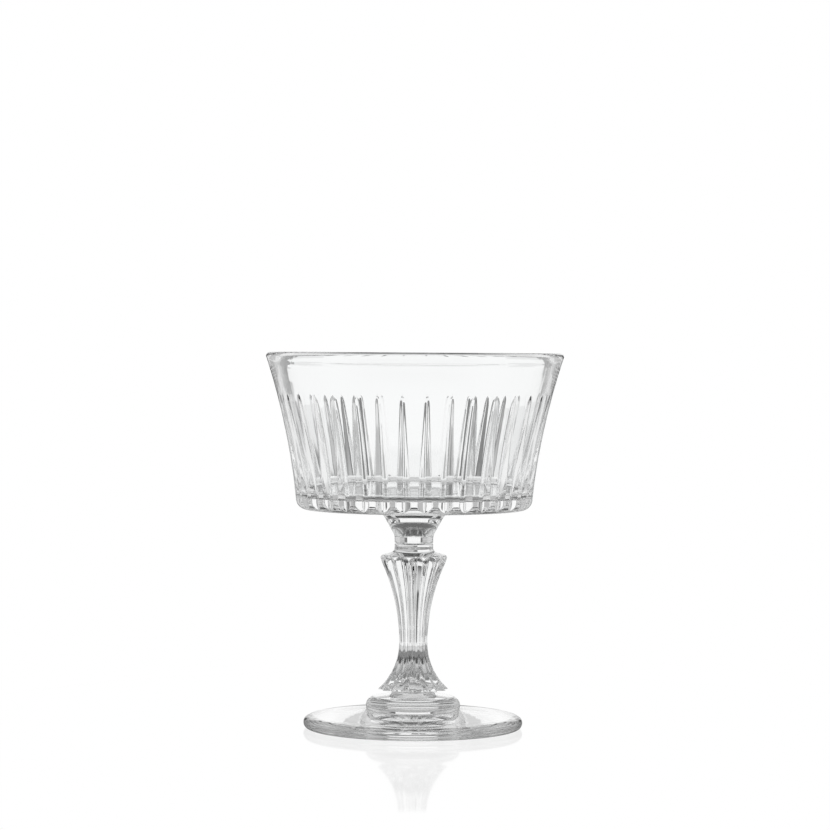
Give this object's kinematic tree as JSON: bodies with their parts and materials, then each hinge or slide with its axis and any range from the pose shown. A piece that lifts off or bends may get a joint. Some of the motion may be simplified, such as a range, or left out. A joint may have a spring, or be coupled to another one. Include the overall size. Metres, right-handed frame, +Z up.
{
  "type": "coupe glass",
  "caption": "Coupe glass of clear pressed glass: flaring cup with a plain rim band and V-cut flutes, trumpet neck, fluted baluster stem with a scalloped hem, cushion boss and round foot",
  "frame": {"origin": "On the axis of the glass, on the plane it stands on", "axes": "+Z up along the axis of the glass from the foot to the rim; -Y is the front, where a plain panel between two bowl flutes faces the viewer; +X is to the viewer's right"},
  "size_m": [0.102, 0.102, 0.1285],
  "materials": {
    "bowl_glass": "clear polished pressed glass",
    "stem_glass": "clear polished pressed glass",
    "foot_glass": "clear polished pressed glass"
  },
  "bodies": {
    "root": {"bowl": "bowl_glass", "stem": "stem_glass", "foot": "foot_glass"}
  },
  "joints": []
}
